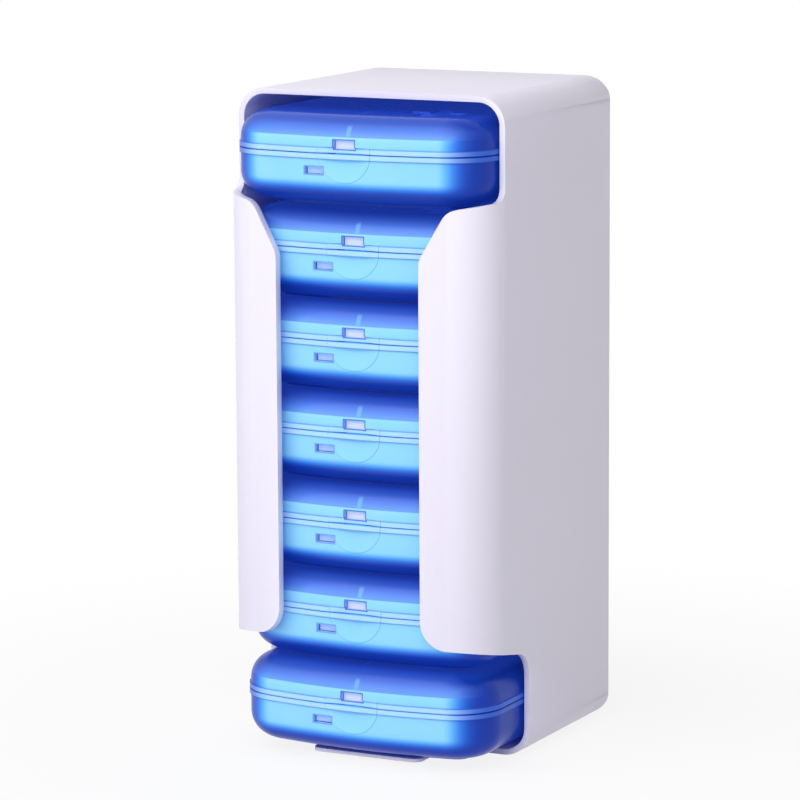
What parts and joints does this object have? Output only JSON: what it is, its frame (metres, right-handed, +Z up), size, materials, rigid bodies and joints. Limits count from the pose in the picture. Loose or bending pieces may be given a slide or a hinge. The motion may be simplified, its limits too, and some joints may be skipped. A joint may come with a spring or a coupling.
{
  "type": "weekly pill drawer organizer",
  "caption": "White open-front tower that stores a stack of clear blue hinged pill boxes; the bottom box draws out at the front and a filled one is loaded at the top.",
  "frame": {"origin": "middle of the bounding box's footprint, on the surface that the tower stands on", "axes": "+Z up, -Y towards the open front, +X to the right seen from the front"},
  "size_m": [0.087, 0.0925, 0.1989],
  "materials": {
    "white_plastic": "satin white moulded plastic",
    "blue_plastic": "clear blue moulded plastic with a light frost",
    "pin_steel": "drawn steel wire",
    "grey_rubber": "matt soft rubber"
  },
  "bodies": {
    "tower": {"tower_shell": "white_plastic", "back_panel": "white_plastic", "rubber_feet": "grey_rubber"},
    "box_1": {"box_1_base": "blue_plastic", "box_1_divider": "blue_plastic", "box_1_hinge_pins": "pin_steel"},
    "lid_1": {"box_1_lid": "blue_plastic"},
    "box_2": {"box_2_base": "blue_plastic", "box_2_divider": "blue_plastic", "box_2_hinge_pins": "pin_steel"},
    "lid_2": {"box_2_lid": "blue_plastic"},
    "box_3": {"box_3_base": "blue_plastic", "box_3_divider": "blue_plastic", "box_3_hinge_pins": "pin_steel"},
    "lid_3": {"box_3_lid": "blue_plastic"},
    "box_4": {"box_4_base": "blue_plastic", "box_4_divider": "blue_plastic", "box_4_hinge_pins": "pin_steel"},
    "lid_4": {"box_4_lid": "blue_plastic"},
    "box_5": {"box_5_base": "blue_plastic", "box_5_divider": "blue_plastic", "box_5_hinge_pins": "pin_steel"},
    "lid_5": {"box_5_lid": "blue_plastic"},
    "box_6": {"box_6_base": "blue_plastic", "box_6_divider": "blue_plastic", "box_6_hinge_pins": "pin_steel"},
    "lid_6": {"box_6_lid": "blue_plastic"},
    "box_7": {"box_7_base": "blue_plastic", "box_7_divider": "blue_plastic", "box_7_hinge_pins": "pin_steel"},
    "lid_7": {"box_7_lid": "blue_plastic"}
  },
  "joints": [
    {"name": "box_1_slide", "type": "slide", "parent": "tower", "child": "box_1", "axis": [0, -1, 0], "range_m": [-0.0029, 0.085]},
    {"name": "lid_1_hinge", "type": "hinge", "parent": "box_1", "child": "lid_1", "pos_m": [0, 0.03895, 0.01875], "axis": [-1, 0, 0], "range_deg": [0, 0.2]},
    {"name": "box_2_slide", "type": "slide", "parent": "tower", "child": "box_2", "axis": [0, -1, 0], "range_m": [0, 0.002]},
    {"name": "lid_2_hinge", "type": "hinge", "parent": "box_2", "child": "lid_2", "pos_m": [0, 0.04185, 0.04575], "axis": [-1, 0, 0], "range_deg": [0, 0.2]},
    {"name": "box_3_slide", "type": "slide", "parent": "tower", "child": "box_3", "axis": [0, -1, 0], "range_m": [0, 0.002]},
    {"name": "lid_3_hinge", "type": "hinge", "parent": "box_3", "child": "lid_3", "pos_m": [0, 0.04185, 0.07275], "axis": [-1, 0, 0], "range_deg": [0, 0.2]},
    {"name": "box_4_slide", "type": "slide", "parent": "tower", "child": "box_4", "axis": [0, -1, 0], "range_m": [0, 0.002]},
    {"name": "lid_4_hinge", "type": "hinge", "parent": "box_4", "child": "lid_4", "pos_m": [0, 0.04185, 0.09975], "axis": [-1, 0, 0], "range_deg": [0, 0.2]},
    {"name": "box_5_slide", "type": "slide", "parent": "tower", "child": "box_5", "axis": [0, -1, 0], "range_m": [0, 0.002]},
    {"name": "lid_5_hinge", "type": "hinge", "parent": "box_5", "child": "lid_5", "pos_m": [0, 0.04185, 0.12675], "axis": [-1, 0, 0], "range_deg": [0, 0.2]},
    {"name": "box_6_slide", "type": "slide", "parent": "tower", "child": "box_6", "axis": [0, -1, 0], "range_m": [0, 0.002]},
    {"name": "lid_6_hinge", "type": "hinge", "parent": "box_6", "child": "lid_6", "pos_m": [0, 0.04185, 0.15375], "axis": [-1, 0, 0], "range_deg": [0, 1.2]},
    {"name": "box_7_slide", "type": "slide", "parent": "tower", "child": "box_7", "axis": [0, -1, 0], "range_m": [-0.0053, 0.085]},
    {"name": "lid_7_hinge", "type": "hinge", "parent": "box_7", "child": "lid_7", "pos_m": [0, 0.03655, 0.18235], "axis": [-1, 0, 0], "range_deg": [0, 3.2]}
  ]
}
